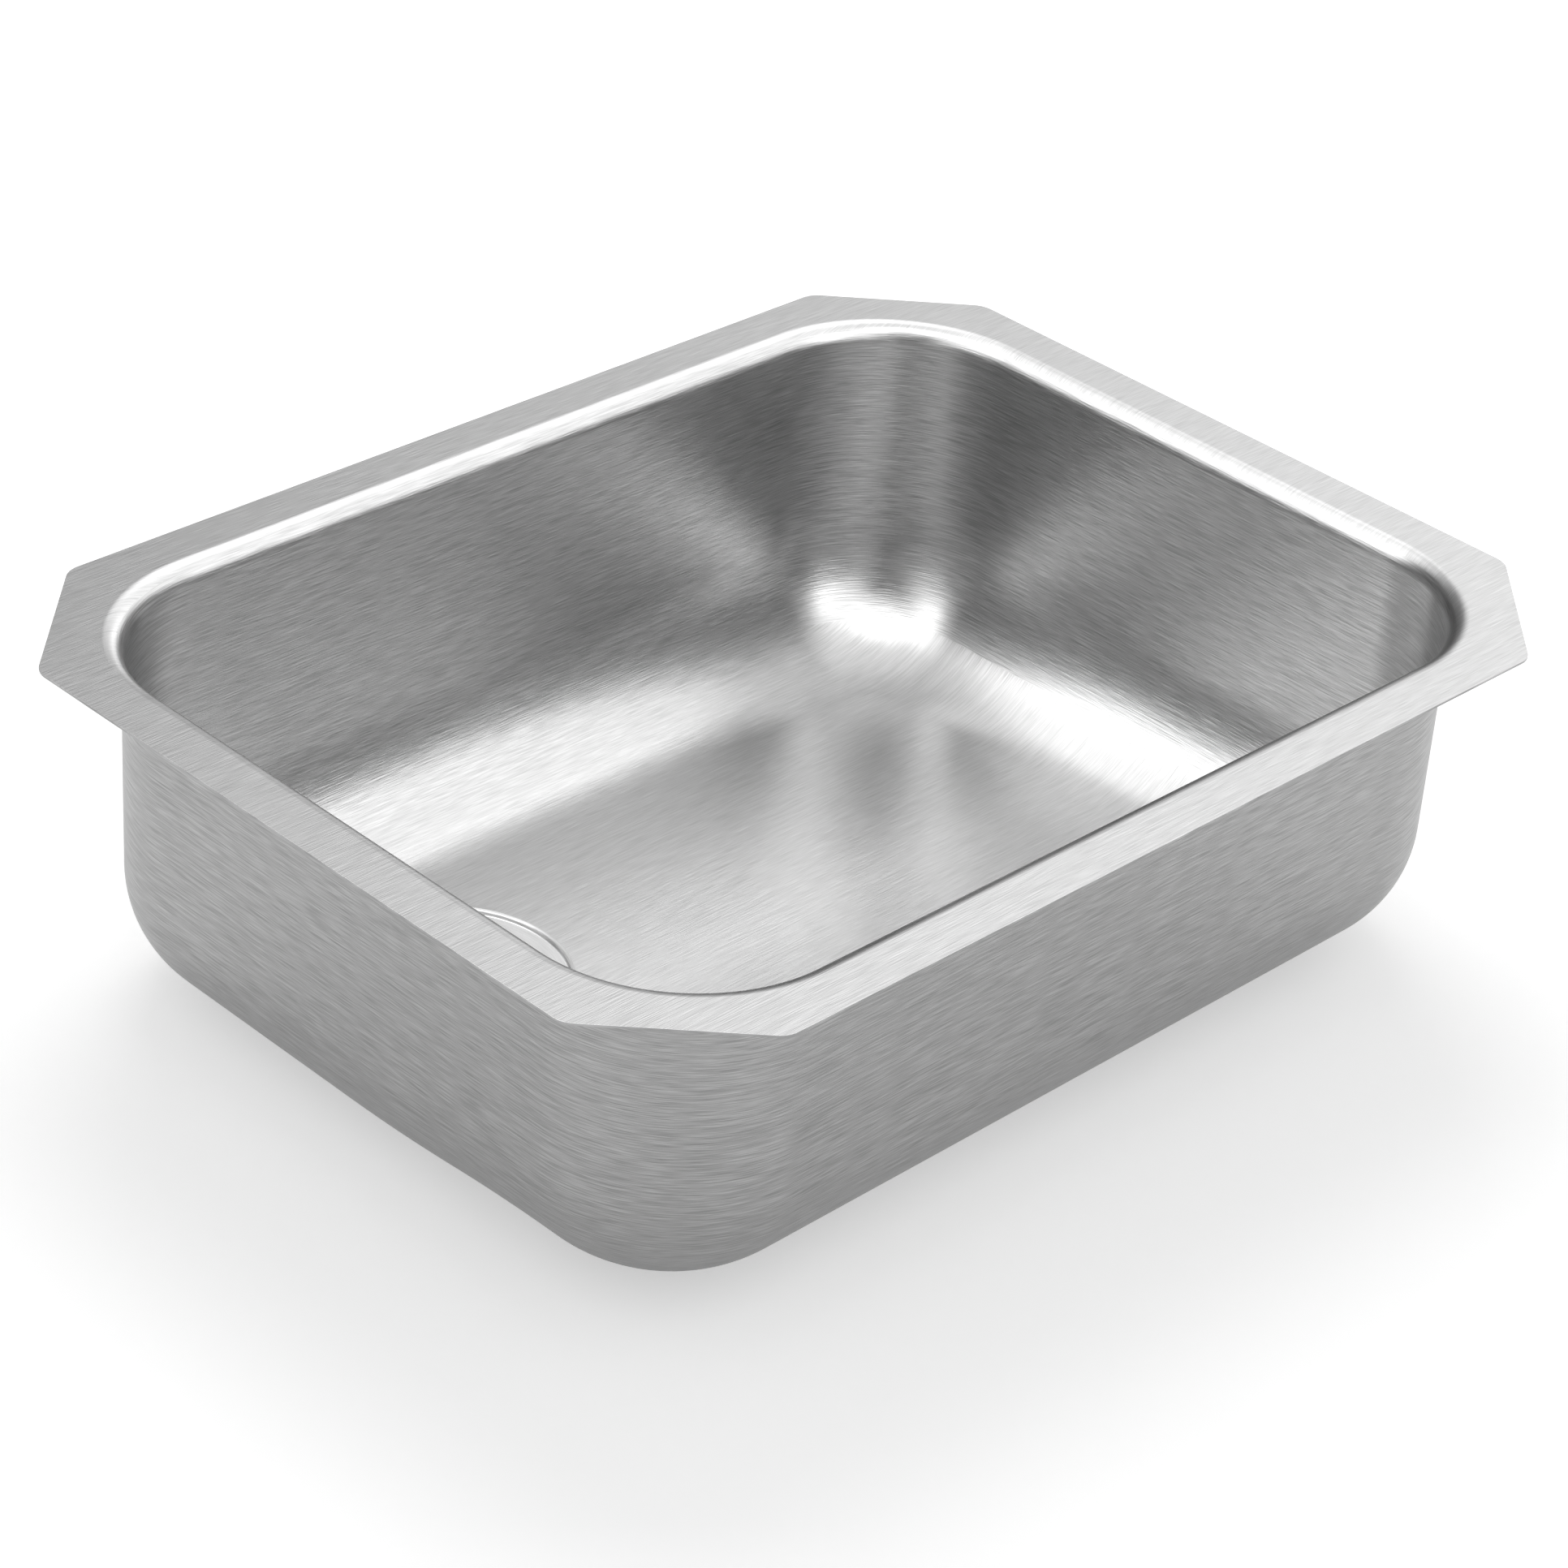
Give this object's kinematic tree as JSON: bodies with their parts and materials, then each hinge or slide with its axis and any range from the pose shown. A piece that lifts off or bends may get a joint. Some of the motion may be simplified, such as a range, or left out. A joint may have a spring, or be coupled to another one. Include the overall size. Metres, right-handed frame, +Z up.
{
  "type": "undermount kitchen sink",
  "caption": "Single-bowl undermount kitchen sink: octagonal flange, rolled rim, straight walls, floor falling to a recessed drain seat at the rear left, rubber pads below.",
  "frame": {"origin": "centre of the worktop cut-out, in the flange's upper plane, which meets the underside of the worktop", "axes": "+X along the long side, from the drain end to the far end; +Y towards the rear wall, beside the drain; +Z up"},
  "size_m": [0.5968, 0.4668, 0.1838],
  "materials": {
    "stainless": "brushed",
    "pad_rubber": "matt"
  },
  "bodies": {
    "root": {"sink_bowl": "stainless", "pad_floor_main": "pad_rubber", "pad_floor_front": "pad_rubber"}
  },
  "joints": []
}
